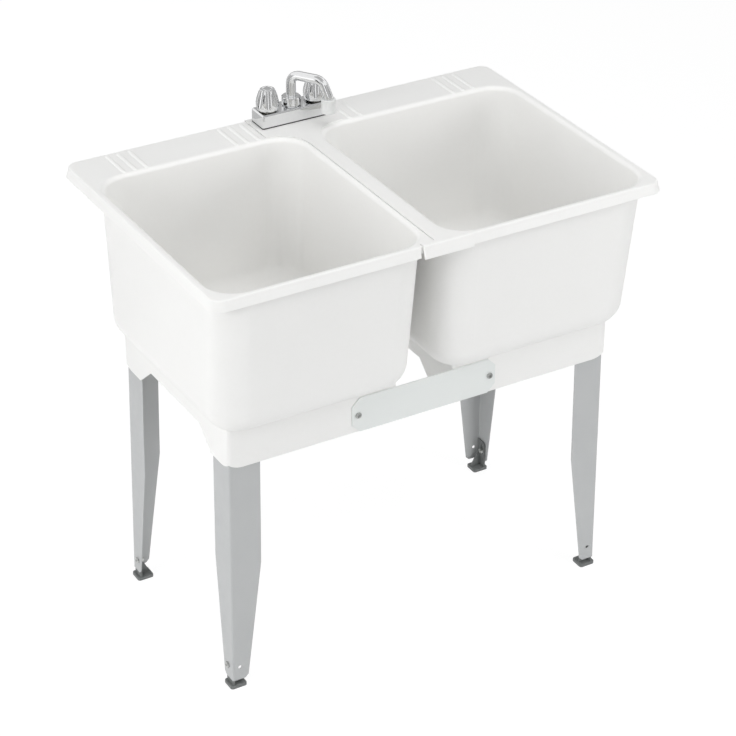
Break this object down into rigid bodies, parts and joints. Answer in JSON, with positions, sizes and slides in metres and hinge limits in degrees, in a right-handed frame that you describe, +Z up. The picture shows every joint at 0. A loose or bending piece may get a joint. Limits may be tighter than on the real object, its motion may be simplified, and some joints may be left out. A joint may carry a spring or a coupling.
{
  "type": "utility laundry sink",
  "caption": "Twin-bowl laundry sink in white moulded plastic on folded steel legs with levelling feet, a chrome two-handle faucet with swivel spout, drains and stoppers.",
  "frame": {"origin": "on the floor under the middle of the rim", "axes": "+X to the right seen from the front, along the sink's length; +Y to the back, where the faucet stands; +Z up"},
  "size_m": [0.9254, 0.615, 0.9732],
  "materials": {
    "tub_plastic": "satin moulded white",
    "plate_enamel": "smooth white enamel",
    "leg_enamel": "pale grey powder coat",
    "zinc": "zinc plated",
    "foot_plastic": "dark grey, dull",
    "strainer_steel": "satin stainless",
    "seal_rubber": "matte black",
    "drain_plastic": "white pipe plastic",
    "shank_plastic": "white, smooth",
    "chrome": "bright plated",
    "button_chrome": "bright plated cap",
    "brass": "machined"
  },
  "bodies": {
    "sink": {"left_tub": "tub_plastic", "right_tub": "tub_plastic", "front_tie_plate": "plate_enamel", "rear_tie_plate": "plate_enamel", "tie_plate_screws": "zinc", "tie_plate_nuts": "zinc", "leg_front_left": "leg_enamel", "leg_front_right": "leg_enamel", "leg_rear_left": "leg_enamel", "leg_rear_right": "leg_enamel", "levelling_screws": "zinc", "levelling_nuts": "zinc", "left_drain_body": "strainer_steel", "left_drain_gasket": "seal_rubber", "left_drain_locknut": "drain_plastic", "left_slip_washer": "seal_rubber", "left_slip_nut": "drain_plastic", "left_tailpiece": "drain_plastic", "right_drain_body": "strainer_steel", "right_drain_gasket": "seal_rubber", "right_drain_locknut": "drain_plastic", "right_slip_washer": "seal_rubber", "right_slip_nut": "drain_plastic", "right_tailpiece": "drain_plastic", "faucet_body": "chrome", "faucet_gasket": "seal_rubber", "faucet_shank_washers": "zinc", "faucet_shank_nuts": "shank_plastic", "hot_cartridge": "brass", "cold_cartridge": "brass", "spout_nut": "chrome"},
    "hot_valve": {"hot_stem": "brass", "hot_handle": "chrome", "hot_handle_screw": "zinc", "hot_index_button": "button_chrome"},
    "cold_valve": {"cold_stem": "brass", "cold_handle": "chrome", "cold_handle_screw": "zinc", "cold_index_button": "button_chrome"},
    "spout_arm": {"spout": "chrome", "spout_o_rings": "seal_rubber", "spout_tip": "shank_plastic", "spout_screen": "strainer_steel"},
    "front_left_foot": {"foot_front_left": "foot_plastic"},
    "front_right_foot": {"foot_front_right": "foot_plastic"},
    "rear_left_foot": {"foot_rear_left": "foot_plastic"},
    "rear_right_foot": {"foot_rear_right": "foot_plastic"},
    "left_plug": {"left_stopper": "seal_rubber"},
    "right_plug": {"right_stopper": "seal_rubber"}
  },
  "joints": [
    {"name": "hot_handle_turn", "type": "hinge", "parent": "sink", "child": "hot_valve", "pos_m": [-0.0508, 0.268, 0.92], "axis": [0, 0, 1], "range_deg": [0, 90]},
    {"name": "cold_handle_turn", "type": "hinge", "parent": "sink", "child": "cold_valve", "pos_m": [0.0508, 0.268, 0.92], "axis": [0, 0, 1], "range_deg": [-90, 0]},
    {"name": "spout_swing", "type": "hinge", "parent": "sink", "child": "spout_arm", "pos_m": [0, 0.268, 0.92], "axis": [0, 0, 1], "range_deg": [-95, 25]},
    {"name": "front_left_foot_slide", "type": "slide", "parent": "sink", "child": "front_left_foot", "axis": [-0.0122, -0.0122, -0.9999], "range_m": [0, 0.014]},
    {"name": "front_right_foot_slide", "type": "slide", "parent": "sink", "child": "front_right_foot", "axis": [0.0122, -0.0122, -0.9999], "range_m": [0, 0.014]},
    {"name": "rear_left_foot_slide", "type": "slide", "parent": "sink", "child": "rear_left_foot", "axis": [-0.0122, 0.0122, -0.9999], "range_m": [0, 0.014]},
    {"name": "rear_right_foot_slide", "type": "slide", "parent": "sink", "child": "rear_right_foot", "axis": [0.0122, 0.0122, -0.9999], "range_m": [0, 0.014]},
    {"name": "left_stopper_lift", "type": "slide", "parent": "sink", "child": "left_plug", "axis": [0, 0, 1], "range_m": [0, 0.024]},
    {"name": "right_stopper_lift", "type": "slide", "parent": "sink", "child": "right_plug", "axis": [0, 0, 1], "range_m": [0, 0.024]}
  ]
}
